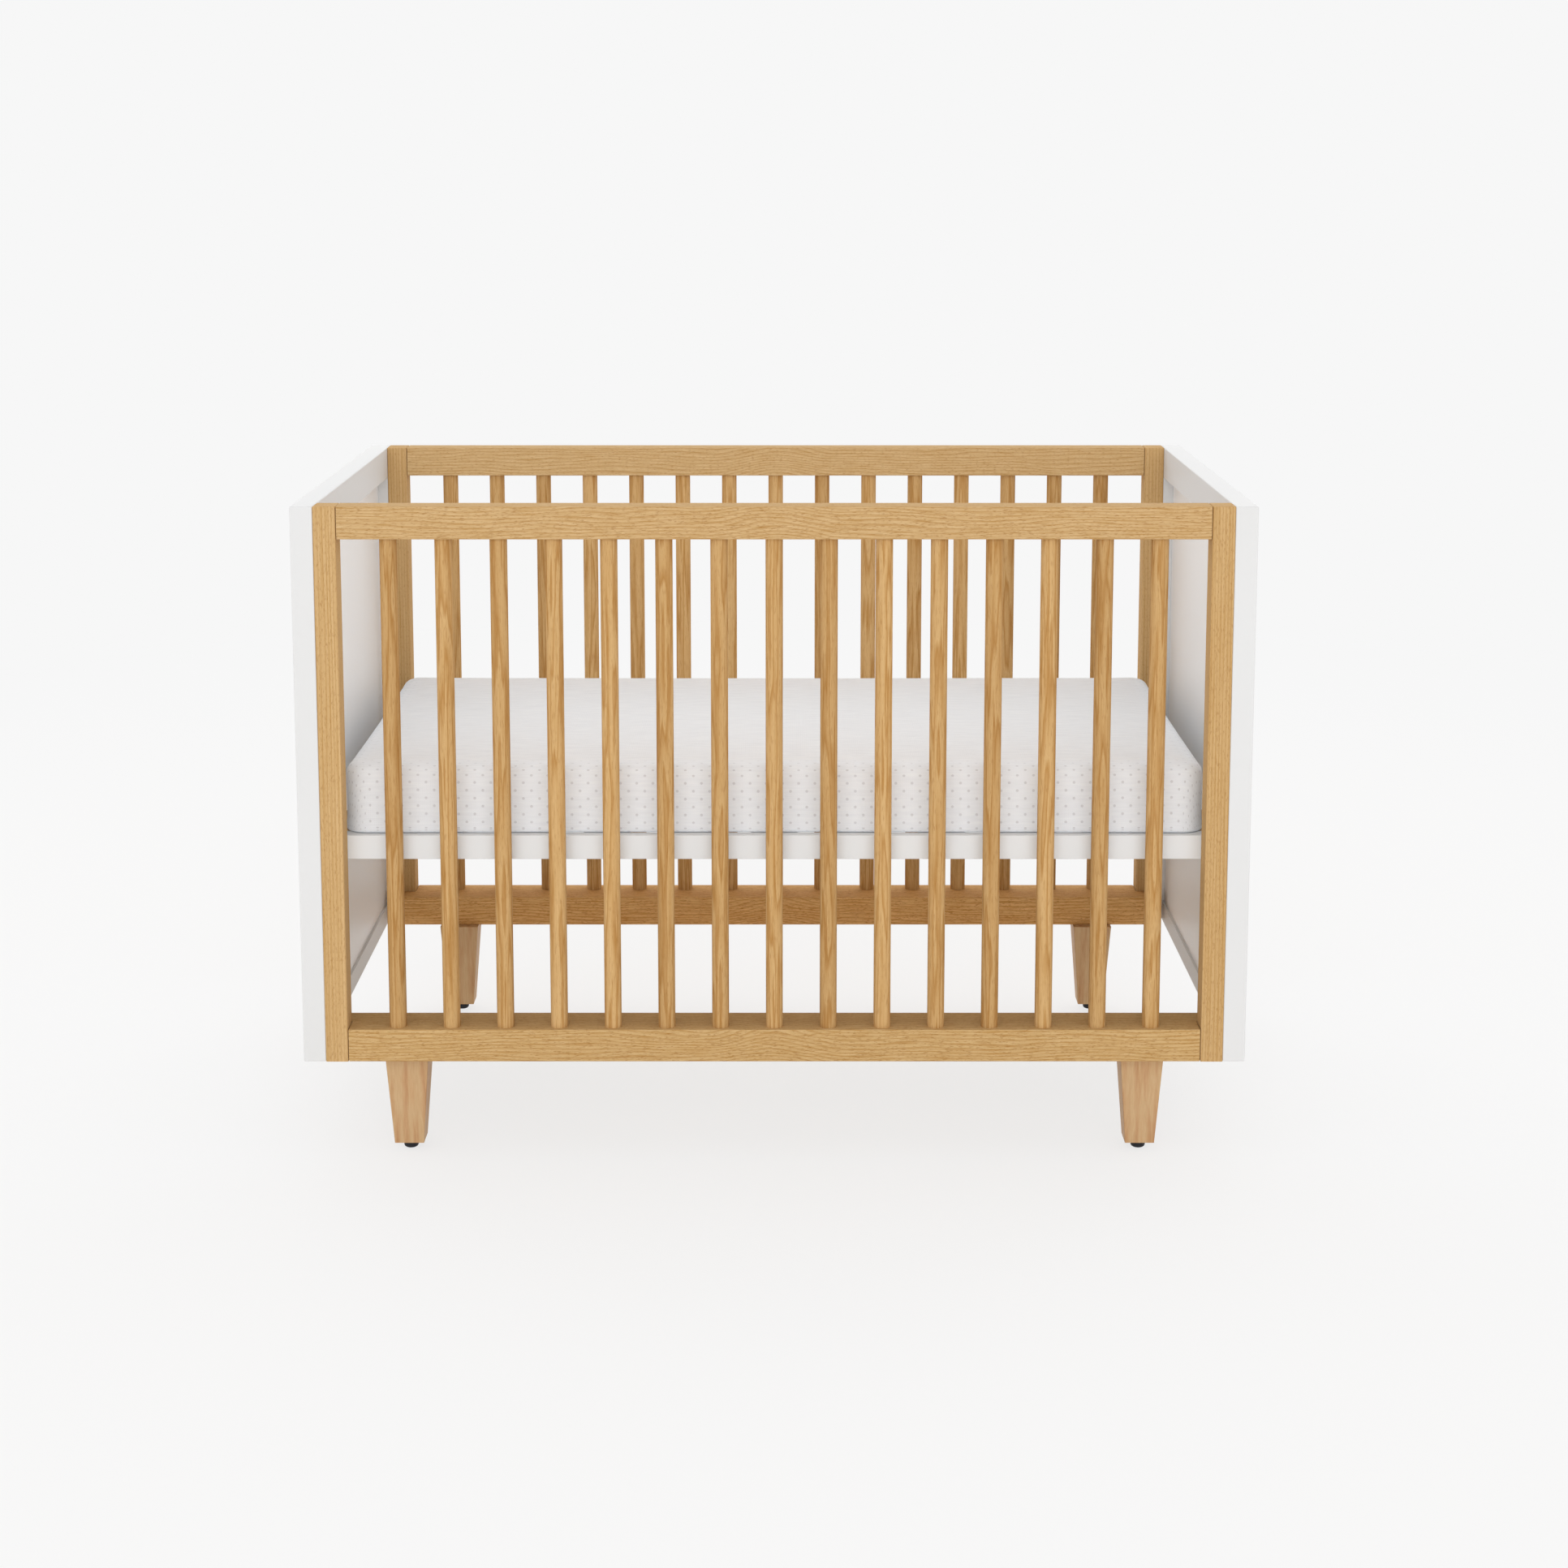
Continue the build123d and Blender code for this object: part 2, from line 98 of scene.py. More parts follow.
def add(tree, kind, inputs=None, stops=None, **settings):
    """Add a node, give it its settings and colour stops, and set or link its inputs."""
    made = tree.nodes.new(kind)
    for name, value in settings.items():
        setattr(made, name, value)
    for index, (place, hex_code) in enumerate(stops or []):
        ramp = made.color_ramp.elements
        stop = ramp[index] if index < len(ramp) else ramp.new(place)
        stop.position = place
        stop.color = colour(hex_code)
    for name, value in (inputs or {}).items():
        socket = made.inputs[name]
        if isinstance(value, bpy.types.NodeSocket):
            tree.links.new(value, socket)
        else:
            socket.default_value = value
    return made


def new_material(name):
    """An empty material with its output and a Principled shader, and its node tree."""
    material = bpy.data.materials.new(name)
    material.use_nodes = True
    tree = material.node_tree
    tree.nodes.clear()
    shader = add(tree, "ShaderNodeBsdfPrincipled")
    add(tree, "ShaderNodeOutputMaterial", {"Surface": shader.outputs["BSDF"]})
    return material, tree, shader


def per_mm(size):
    """Pattern scale that makes one step of a texture as long as a size in millimetres."""
    return 1 / (size * MM)


def grain_space(tree, along, size):
    """Object coordinates scaled so that one step is a figure's length along the grain and its width across it."""
    length, width = size
    place = add(tree, "ShaderNodeTexCoord").outputs["Object"]
    scale = [per_mm(width)] * 3
    scale["XYZ".index(along)] = per_mm(length)
    return add(tree, "ShaderNodeMapping", {"Vector": place, "Scale": scale}).outputs["Vector"]


def spread_stops(stops, middle, share):
    """Colour stops whose distance from a middle tone is a share of what is written."""
    spread = []
    for place, hex_code in stops:
        pairs = [(int(middle[i:i + 2], 16), int(hex_code[i:i + 2], 16)) for i in (0, 2, 4)]
        spread.append((place, "".join(f"{min(255, max(0, round(m + share * (c - m)))):02X}" for m, c in pairs)))
    return spread


# White oak under a clear satin lacquer: planed and sanded, so its growth rings show as fine tan lines along the
# grain, which bend into arches where the saw cut across them. Its open pores break these lines into short dashes.
def oak(name, board_tones, contrast, along, figure, rings_per_figure, fibres, pores, fibre_share=0.5, pore_shade=0.6,
        ring_pitch=None, hill_rings=0.0):
    """Oak with its grain along an axis. The figure, fibres and pores are lengths and widths in millimetres."""
    material, tree, shader = new_material(name)
    ring_middle, fibre_middle, pore_tone = "D1AD7A", "D5B383", "A97B43"
    hill_half_length, board_size = 105.0, (2500.0, 60.0)
    rings = add(tree, "ShaderNodeTexNoise", {
        "Vector": grain_space(tree, along, figure),
        "Scale": 1.0, "Detail": 2.0, "Roughness": 0.42, "Distortion": 0.1,
    }).outputs["Fac"]
    rings = add(tree, "ShaderNodeMath", {0: rings, 1: rings_per_figure}, operation="MULTIPLY").outputs[0]
    place = add(tree, "ShaderNodeTexCoord").outputs["Object"]
    if ring_pitch:
        # The rings run along the board, one pitch apart across it.
        across = [per_mm(ring_pitch)] * 3
        across["XYZ".index(along)] = 0.0
        straight = add(tree, "ShaderNodeVectorMath", {0: place, 1: across}, operation="DOT_PRODUCT").outputs["Value"]
        rings = add(tree, "ShaderNodeMath", {0: rings, 1: straight}, operation="ADD").outputs[0]
    if hill_rings:
        # A hill in the middle of the board's length bends its rings into arches.
        reach = [0.0] * 3
        reach["XYZ".index(along)] = per_mm(hill_half_length)
        middle = add(tree, "ShaderNodeMapping", {"Vector": place, "Scale": reach}).outputs["Vector"]
        hill = add(tree, "ShaderNodeTexGradient", {"Vector": middle}, gradient_type="SPHERICAL").outputs["Fac"]
        hill = add(tree, "ShaderNodeMapRange", {"Value": hill, "To Max": -hill_rings},
                   interpolation_type="SMOOTHSTEP").outputs["Result"]
        rings = add(tree, "ShaderNodeMath", {0: rings, 1: hill}, operation="ADD").outputs[0]
    ring = add(tree, "ShaderNodeMath", {0: rings}, operation="FRACT").outputs[0]
    ring_tone = add(tree, "ShaderNodeValToRGB", {"Fac": ring}, stops=spread_stops([
        (0.0, "DFC092"), (0.45, "D7B584"), (0.82, "BA8D53"), (1.0, "DBBB8B"),
    ], ring_middle, contrast)).outputs["Color"]
    fibre = add(tree, "ShaderNodeTexNoise", {
        "Vector": grain_space(tree, along, fibres),
        "Scale": 1.0, "Detail": 3.0, "Roughness": 0.62,
    }).outputs["Fac"]
    fibre_tone = add(tree, "ShaderNodeValToRGB", {"Fac": fibre}, stops=spread_stops([
        (0.32, "C1975D"), (0.50, "D6B484"), (0.70, "E7CAA0"),
    ], fibre_middle, contrast)).outputs["Color"]
    wood = add(tree, "ShaderNodeMix", {0: fibre_share, 6: ring_tone, 7: fibre_tone}, data_type="RGBA").outputs[2]
    # The pores are about 0.3 mm wide on the real wood; they are drawn three times as wide, so that they show.
    pore = add(tree, "ShaderNodeTexNoise", {
        "Vector": grain_space(tree, along, pores),
        "Scale": 1.0, "Detail": 1.0, "Roughness": 0.5,
    }).outputs["Fac"]
    open_pore = add(tree, "ShaderNodeMapRange", {
        "Value": pore, "From Min": 0.56, "From Max": 0.70, "To Min": 0.0, "To Max": 1.0,
    }).outputs["Result"]
    shade = add(tree, "ShaderNodeMath", {0: open_pore, 1: pore_shade * contrast}, operation="MULTIPLY").outputs[0]
    wood = add(tree, "ShaderNodeMix", {0: shade, 6: wood, 7: colour(pore_tone)}, data_type="RGBA").outputs[2]
    # Neighbouring boards differ a little in tone.
    board = add(tree, "ShaderNodeTexNoise", {
        "Vector": grain_space(tree, along, board_size), "Scale": 1.0, "Detail": 0.0,
    }).outputs["Fac"]
    board_tone = add(tree, "ShaderNodeValToRGB", {"Fac": board}, stops=[
        (0.3, board_tones[0]), (0.7, board_tones[1]),
    ]).outputs["Color"]
    shown = add(tree, "ShaderNodeMix", {0: 1.0, 6: wood, 7: board_tone}, data_type="RGBA",
                blend_type="MULTIPLY").outputs[2]
    dull = add(tree, "ShaderNodeMapRange", {
        "Value": fibre, "From Min": 0.2, "From Max": 0.8, "To Min": 0.56, "To Max": 0.70,
    }).outputs["Result"]
    relief = add(tree, "ShaderNodeMath", {0: fibre, 1: open_pore}, operation="SUBTRACT").outputs[0]
    bump = add(tree, "ShaderNodeBump", {"Height": relief, "Strength": 0.4, "Distance": 0.3 * MM})
    tree.links.new(shown, shader.inputs["Base Color"])
    tree.links.new(dull, shader.inputs["Roughness"])
    tree.links.new(bump.outputs["Normal"], shader.inputs["Normal"])
    shader.inputs["IOR"].default_value = 1.5
    shader.inputs["Specular IOR Level"].default_value = 0.02
    return material


# Alder legs under a clear satin lacquer: a close, straight-grained wood with pinkish-tan bands and no open pores.
def alder():
    material, tree, shader = new_material("alder_satin_lacquer")
    bands, fibres, fibre_share = (260.0, 9.0), (60.0, 1.4), 0.3
    band = add(tree, "ShaderNodeTexNoise", {
        "Vector": grain_space(tree, "Z", bands),
        "Scale": 1.0, "Detail": 2.0, "Roughness": 0.5,
    }).outputs["Fac"]
    band_tone = add(tree, "ShaderNodeValToRGB", {"Fac": band}, stops=[
        (0.28, "B28157"), (0.42, "C2996E"), (0.58, "CBAC82"), (0.74, "C8A277"),
    ]).outputs["Color"]
    fibre = add(tree, "ShaderNodeTexNoise", {
        "Vector": grain_space(tree, "Z", fibres),
        "Scale": 1.0, "Detail": 2.0, "Roughness": 0.55,
    }).outputs["Fac"]
    fibre_tone = add(tree, "ShaderNodeValToRGB", {"Fac": fibre}, stops=[
        (0.30, "B78C62"), (0.70, "D2B28C"),
    ]).outputs["Color"]
    wood = add(tree, "ShaderNodeMix", {0: fibre_share, 6: band_tone, 7: fibre_tone}, data_type="RGBA").outputs[2]
    dull = add(tree, "ShaderNodeMapRange", {
        "Value": fibre, "From Min": 0.2, "From Max": 0.8, "To Min": 0.42, "To Max": 0.52,
    }).outputs["Result"]
    bump = add(tree, "ShaderNodeBump", {"Height": fibre, "Strength": 0.2, "Distance": 0.12 * MM})
    tree.links.new(wood, shader.inputs["Base Color"])
    tree.links.new(dull, shader.inputs["Roughness"])
    tree.links.new(bump.outputs["Normal"], shader.inputs["Normal"])
    shader.inputs["IOR"].default_value = 1.5
    shader.inputs["Specular IOR Level"].default_value = 0.15
    return material


# Sanded beech of the base slats: pale, even wood with short darker flecks along the grain, left matt. Their ends are
# painted white with the rails that they lie in.
def beech():
    material, tree, shader = new_material("beech_sanded")
    streaks, fleck_size = (300.0, 18.0), (7.0, 1.2)
    tone = add(tree, "ShaderNodeTexNoise", {
        "Vector": grain_space(tree, "Y", streaks),
        "Scale": 1.0, "Detail": 2.0, "Roughness": 0.5,
    }).outputs["Fac"]
    wood = add(tree, "ShaderNodeValToRGB", {"Fac": tone}, stops=[
        (0.3, "D3B48B"), (0.7, "E0C6A1"),
    ]).outputs["Color"]
    fleck = add(tree, "ShaderNodeTexNoise", {
        "Vector": grain_space(tree, "Y", fleck_size),
        "Scale": 1.0, "Detail": 1.0, "Roughness": 0.5,
    }).outputs["Fac"]
    flecks = add(tree, "ShaderNodeMapRange", {
        "Value": fleck, "From Min": 0.62, "From Max": 0.72, "To Min": 0.0, "To Max": 0.5,
    }).outputs["Result"]
    wood = add(tree, "ShaderNodeMix", {0: flecks, 6: wood, 7: colour("B68F60")}, data_type="RGBA").outputs[2]
    place = add(tree, "ShaderNodeTexCoord").outputs["Object"]
    across = add(tree, "ShaderNodeSeparateXYZ", {"Vector": place}).outputs["Y"]
    from_middle = add(tree, "ShaderNodeMath", {0: across}, operation="ABSOLUTE").outputs[0]
    paint_edge, paint_fade = 325.0, 1.0
    painted = add(tree, "ShaderNodeMapRange", {
        "Value": from_middle, "From Min": paint_edge * MM, "From Max": (paint_edge + paint_fade) * MM,
    }).outputs["Result"]
    shown = add(tree, "ShaderNodeMix", {0: painted, 6: wood, 7: colour("EBEEF0")}, data_type="RGBA").outputs[2]
    bump = add(tree, "ShaderNodeBump", {"Height": fleck, "Strength": 0.2, "Distance": 0.1 * MM})
    tree.links.new(shown, shader.inputs["Base Color"])
    tree.links.new(bump.outputs["Normal"], shader.inputs["Normal"])
    shader.inputs["Roughness"].default_value = 0.62
    shader.inputs["IOR"].default_value = 1.5
    return material


# White satin finish on smooth board, sprayed on as lacquer or paint or pressed on as laminate: an even white with a
# faint orange-peel ripple in its soft shine. A panel may be drawn a brighter white on its inside than on its outside:
# that brighter inside is painted light, which lifts the shade inside the crib.
def lacquer(name, dark, light, shine, outside_white_inside_painted_light=None):
    material, tree, shader = new_material(name)
    place = add(tree, "ShaderNodeTexCoord").outputs["Object"]
    tint_size, ripple_size = 420.0, 2.2
    tint = add(tree, "ShaderNodeTexNoise", {"Vector": place, "Scale": per_mm(tint_size), "Detail": 1.0}).outputs["Fac"]
    white = add(tree, "ShaderNodeValToRGB", {"Fac": tint}, stops=[
        (0.3, dark), (0.7, light),
    ]).outputs["Color"]
    # The inside of the panel gets the brighter white, the outside the plain one: painted light on the inside.
    if outside_white_inside_painted_light:
        panel_middle = 686.5
        along = add(tree, "ShaderNodeSeparateXYZ", {"Vector": place}).outputs["X"]
        from_middle = add(tree, "ShaderNodeMath", {0: along}, operation="ABSOLUTE").outputs[0]
        beyond = add(tree, "ShaderNodeMath", {0: from_middle, 1: panel_middle * MM},
                     operation="GREATER_THAN").outputs[0]
        white = add(tree, "ShaderNodeMix", {0: beyond, 6: white, 7: colour(outside_white_inside_painted_light)}, data_type="RGBA").outputs[2]
    ripple = add(tree, "ShaderNodeTexNoise", {
        "Vector": place, "Scale": per_mm(ripple_size), "Detail": 1.0,
    }).outputs["Fac"]
    bump = add(tree, "ShaderNodeBump", {"Height": ripple, "Strength": 0.12, "Distance": 0.06 * MM})
    dull = add(tree, "ShaderNodeMapRange", {
        "Value": tint, "From Min": 0.3, "From Max": 0.7, "To Min": 0.36, "To Max": 0.44,
    }).outputs["Result"]
    tree.links.new(white, shader.inputs["Base Color"])
    tree.links.new(dull, shader.inputs["Roughness"])
    tree.links.new(bump.outputs["Normal"], shader.inputs["Normal"])
    shader.inputs["IOR"].default_value = 1.5
    shader.inputs["Specular IOR Level"].default_value = shine
    return material


# Black moulded nylon of the levelling feet: a fine spark-eroded grain that breaks up a dull shine.
def nylon():
    material, tree, shader = new_material("black_moulded_nylon")
    place = add(tree, "ShaderNodeTexCoord").outputs["Object"]
    # The grain is about 0.1 mm on the real foot; it is drawn seven times as coarse, so that it shows close up.
    grit_size = 0.7
    grit = add(tree, "ShaderNodeTexNoise", {"Vector": place, "Scale": per_mm(grit_size), "Detail": 2.0}).outputs["Fac"]
    black = add(tree, "ShaderNodeValToRGB", {"Fac": grit}, stops=[
        (0.3, "191A1F"), (0.7, "232429"),
    ]).outputs["Color"]
    bump = add(tree, "ShaderNodeBump", {"Height": grit, "Strength": 0.3, "Distance": 0.1 * MM})
    tree.links.new(black, shader.inputs["Base Color"])
    tree.links.new(bump.outputs["Normal"], shader.inputs["Normal"])
    shader.inputs["Roughness"].default_value = 0.46
    shader.inputs["IOR"].default_value = 1.53
    shader.inputs["Specular IOR Level"].default_value = 0.25
    return material


# Machined metal of the bolts and inserts: fine tool marks break its highlights into brighter and duller specks.
def machined(name, dark, light, roughness):
    material, tree, shader = new_material(name)
    place = add(tree, "ShaderNodeTexCoord").outputs["Object"]
    # Tool marks are about 0.1 mm apart on the real metal; they are drawn six times as coarse, so that they show.
    mark_size, unevenness = 0.6, 0.08
    marks = add(tree, "ShaderNodeTexNoise", {"Vector": place, "Scale": per_mm(mark_size), "Detail": 2.0}).outputs["Fac"]
    metal = add(tree, "ShaderNodeValToRGB", {"Fac": marks}, stops=[(0.3, dark), (0.7, light)]).outputs["Color"]
    dull = add(tree, "ShaderNodeMapRange", {
        "Value": marks, "From Min": 0.2, "From Max": 0.8,
        "To Min": roughness - unevenness, "To Max": roughness + unevenness,
    }).outputs["Result"]
    tree.links.new(metal, shader.inputs["Base Color"])
    tree.links.new(dull, shader.inputs["Roughness"])
    shader.inputs["Metallic"].default_value = 1.0
    return material


# White cotton percale of the fitted sheet, plain woven and printed with faint grey pin dots: matt and soft, with
# slubs in its yarns that show as short pale and grey streaks, and a nap that lifts its edges.
def percale(top_half):
    material, tree, shader = new_material("white_cotton_percale")
    place = add(tree, "ShaderNodeUVMap", uv_map="cloth").outputs["UV"]
    # The UV map is in metres of cloth. A yarn is about 0.25 mm wide; the weave is drawn twelve times as coarse, so
    # that it shows. A wave texture has 20 radians in one step of its scale.
    yarn, wave_radians = 3.0, 20.0
    yarn_scale = per_mm(yarn) * math.tau / wave_radians
    warp = add(tree, "ShaderNodeTexWave", {"Vector": place, "Scale": yarn_scale}, wave_type="BANDS",
               bands_direction="X", wave_profile="SIN").outputs["Fac"]
    weft = add(tree, "ShaderNodeTexWave", {"Vector": place, "Scale": yarn_scale}, wave_type="BANDS",
               bands_direction="Y", wave_profile="SIN").outputs["Fac"]
    weave = add(tree, "ShaderNodeMath", {0: warp, 1: weft}, operation="MULTIPLY").outputs[0]
    slub_length, slub_width = 46.0, 4.5
    slub_space = add(tree, "ShaderNodeMapping", {
        "Vector": place, "Scale": (per_mm(slub_length), per_mm(slub_width), 1.0),
    }).outputs["Vector"]
    slub = add(tree, "ShaderNodeTexNoise", {
        "Vector": slub_space, "Scale": 1.0, "Detail": 2.0, "Roughness": 0.55,
    }).outputs["Fac"]
    plain = add(tree, "ShaderNodeValToRGB", {"Fac": slub}, stops=[
        (0.30, "E9EBEE"), (0.50, "EDEFF2"), (0.70, "F1F3F5"),
    ]).outputs["Color"]
    # Brighter, cooler white of the skirt: painted light, not a different cloth.
    skirt_painted_light_white = add(tree, "ShaderNodeValToRGB", {"Fac": slub}, stops=[
        (0.30, "ECF1F7"), (0.50, "EFF4FA"), (0.70, "F2F7FC"),
    ]).outputs["Color"]
    # Pin dots stand in a half-drop grid: two square grids, one moved by half a step both ways.
    dot_step, dot_radius, dot_edge = 24.0, 2.5, 0.8
    dots = []
    for shift in (0.0, dot_step / 2):
        moved = add(tree, "ShaderNodeVectorMath", {0: place, 1: (shift * MM, shift * MM, 0.0)}).outputs["Vector"]
        step = (dot_step * MM,) * 3
        cell = add(tree, "ShaderNodeVectorMath", {0: moved, 1: step}, operation="SNAP").outputs["Vector"]
        inside = add(tree, "ShaderNodeVectorMath", {0: moved, 1: cell}, operation="SUBTRACT").outputs["Vector"]
        centre = (dot_step * MM / 2, dot_step * MM / 2, 0.0)
        away = add(tree, "ShaderNodeVectorMath", {0: inside, 1: centre}, operation="DISTANCE").outputs["Value"]
        dots.append(add(tree, "ShaderNodeMapRange", {
            "Value": away, "From Min": dot_radius * MM, "From Max": (dot_radius - dot_edge) * MM,
        }).outputs["Result"])
    dotted = add(tree, "ShaderNodeMath", {0: dots[0], 1: dots[1]}, operation="MAXIMUM").outputs[0]
    # The print is on the skirt: it fades out a little way in from the rim, and the top is nearly plain. The skirt
    # is also drawn a brighter, cooler white than the top: painted light that lifts the warm shade behind the slats.
    print_fade, top_ink, skirt_ink = 45.0, 0.03, 0.48
    from_middle = add(tree, "ShaderNodeVectorMath", {0: place}, operation="ABSOLUTE").outputs["Vector"]
    past_rim = add(tree, "ShaderNodeVectorMath", {0: from_middle, 1: (*top_half, 0.0)},
                   operation="SUBTRACT").outputs["Vector"]
    beyond = add(tree, "ShaderNodeSeparateXYZ", {"Vector": past_rim}).outputs
    skirt = add(tree, "ShaderNodeMath", {0: beyond["X"], 1: beyond["Y"]}, operation="MAXIMUM").outputs[0]
    on_skirt = add(tree, "ShaderNodeMapRange", {
        "Value": skirt, "From Min": -print_fade * MM, "From Max": 0.0,
    }).outputs["Result"]
    cloth = add(tree, "ShaderNodeMix", {0: on_skirt, 6: plain, 7: skirt_painted_light_white}, data_type="RGBA").outputs[2]
    strength = add(tree, "ShaderNodeMapRange", {
        "Value": on_skirt, "To Min": top_ink, "To Max": skirt_ink,
    }).outputs["Result"]
    print_ink = add(tree, "ShaderNodeMath", {0: dotted, 1: strength}, operation="MULTIPLY").outputs[0]
    shown = add(tree, "ShaderNodeMix", {0: print_ink, 6: cloth, 7: colour("BDBEC4")}, data_type="RGBA").outputs[2]
    relief = add(tree, "ShaderNodeMath", {0: weave, 1: slub}, operation="ADD").outputs[0]
    bump = add(tree, "ShaderNodeBump", {"Height": relief, "Strength": 0.3, "Distance": 0.35 * MM})
    tree.links.new(shown, shader.inputs["Base Color"])
    tree.links.new(bump.outputs["Normal"], shader.inputs["Normal"])
    shader.inputs["Roughness"].default_value = 0.88
    shader.inputs["Sheen Weight"].default_value = 0.08
    shader.inputs["Sheen Roughness"].default_value = 0.5
    shader.inputs["Specular IOR Level"].default_value = 0.25
    return material


def dress(names, material):
    """Give a finish to CAD nodes."""
    for name in names:
        mesh = nodes[name].data
        mesh.materials.clear()
        mesh.materials.append(material)


def dress_frame():
    """Finish every rigid piece of the crib."""
    top_rails = [n for n in nodes if n.endswith("_top_rail")]
    posts = [n for n in nodes if n.endswith("_post")]
    slats = [n for n in nodes if n.startswith(("front_slat_", "rear_slat_"))]
    legs = [n for n in nodes if n.endswith("_leg")]
    feet = [n for n in nodes if n.endswith("_foot")]
    ends = [n for n in nodes if n.endswith("_end_frame")]
    panels = [n for n in nodes if n.endswith("_inset_panel")]
    base_rails = [n for n in nodes if n.startswith("base_") and n.endswith("_rail")]
    pale, warm, painted_warm_shade_tones = ("EFEBE4", "F7F7F5"), ("EDE8DA", "F6F4EA"), ("FCE6C8", "FFF0D8")
    straight, golden = ("EEE8DC", "F6F3EC"), ("E4D7C3", "F4EAD9")
    # Rails are cut flat, with arches; posts are cut straight; slats are narrow strips with a long, slim figure.
    rail_grain = dict(along="X", figure=(190.0, 40.0), rings_per_figure=5.0, fibres=(34.0, 1.7), pores=(6.0, 0.9),
                      ring_pitch=5.5, hill_rings=3.0)
    post_grain = dict(along="Z", figure=(900.0, 40.0), rings_per_figure=3.0, fibres=(160.0, 1.8), pores=(6.0, 0.9),
                      ring_pitch=5.0)
    slat_grain = dict(along="Z", figure=(260.0, 14.0), rings_per_figure=5.0, fibres=(60.0, 1.9), pores=(14.0, 1.0),
                      fibre_share=0.25, pore_shade=0.4)
    dress(top_rails, oak("oak_top_rails_satin_lacquer", pale, contrast=0.98, **rail_grain))
    dress(["front_bottom_rail"], oak("oak_front_bottom_rail_satin_lacquer", warm, contrast=1.02, **rail_grain))
    # The rear bottom rail is the same oak as the other rails. Its warmer, deeper tone is painted warm shade, standing
    # for the light bounced between the wood inside the crib.
    dress(["rear_bottom_rail"], oak("oak_rear_bottom_rail_painted_warm_shade", painted_warm_shade_tones, contrast=1.3, **rail_grain))
    dress(posts, oak("oak_posts_satin_lacquer", straight, contrast=0.76, **post_grain))
    dress(slats, oak("oak_slats_satin_lacquer", golden, contrast=1.0, **slat_grain))
    dress(legs, alder())
    dress(feet, nylon())
    dress(ends, lacquer("white_satin_lacquer", "DEDEDD", "E1E1E1", shine=0.05))
    # The panels' inner faces are a brighter white than the end frames: painted light that lifts the shade inside the
    # crib.
    dress(panels, lacquer("white_satin_laminate_painted_light_inside", "F6F7F8", "F9FAFB", shine=0.5, outside_white_inside_painted_light="E1E1E1"))
    dress(base_rails, lacquer("white_satin_paint", "E9ECEE", "EDF0F2", shine=0.25))
    dress(["base_slats"], beech())
    dress(["corner_bolts", "leg_bolts", "base_bolts"],
          machined("zinc_plated_steel", "8E8F92", "A9AAAD", roughness=0.34))
    dress(["height_inserts"], machined("machined_brass", "B08F4C", "C9A862", roughness=0.3))


def swollen(mesh):
    """Let the sheet swell under the foam's pressure, with the underside held flat, and return its new points."""
    pad = bpy.data.objects.new("swelling", mesh)
    bpy.context.scene.collection.objects.link(pad)
    rest_points = [v.co.copy() for v in mesh.vertices]
    floor_level = min(p.z for p in rest_points)
    held = pad.vertex_groups.new(name="held")
    held.add([i for i, p in enumerate(rest_points) if p.z < floor_level + mattress_rest_height], 1.0, "REPLACE")
    cloth = pad.modifiers.new("swell", "CLOTH")
    settings = cloth.settings
    settings.use_pressure = True
    settings.uniform_pressure_force = mattress_pressure
    settings.vertex_group_mass = "held"
    settings.effector_weights.gravity = 0.0
    settings.quality = 5
    settings.mass = 0.3
    settings.tension_stiffness = 15.0
    settings.compression_stiffness = 15.0
    settings.bending_stiffness = 0.5
    cloth.point_cache.frame_start = 1
    cloth.point_cache.frame_end = mattress_frames
    for step in range(1, mattress_frames + 1):
        bpy.context.scene.frame_set(step)
    shaped = pad.evaluated_get(bpy.context.evaluated_depsgraph_get()).to_mesh()
    moved_points = []
    for start, vertex in zip(rest_points, shaped.vertices):
        move = vertex.co - start
        if move.length > mattress_swell_cap:
            move *= mattress_swell_cap / move.length
        moved_points.append(start + move)
    bpy.context.scene.frame_set(1)
    bpy.data.objects.remove(pad)
    return moved_points


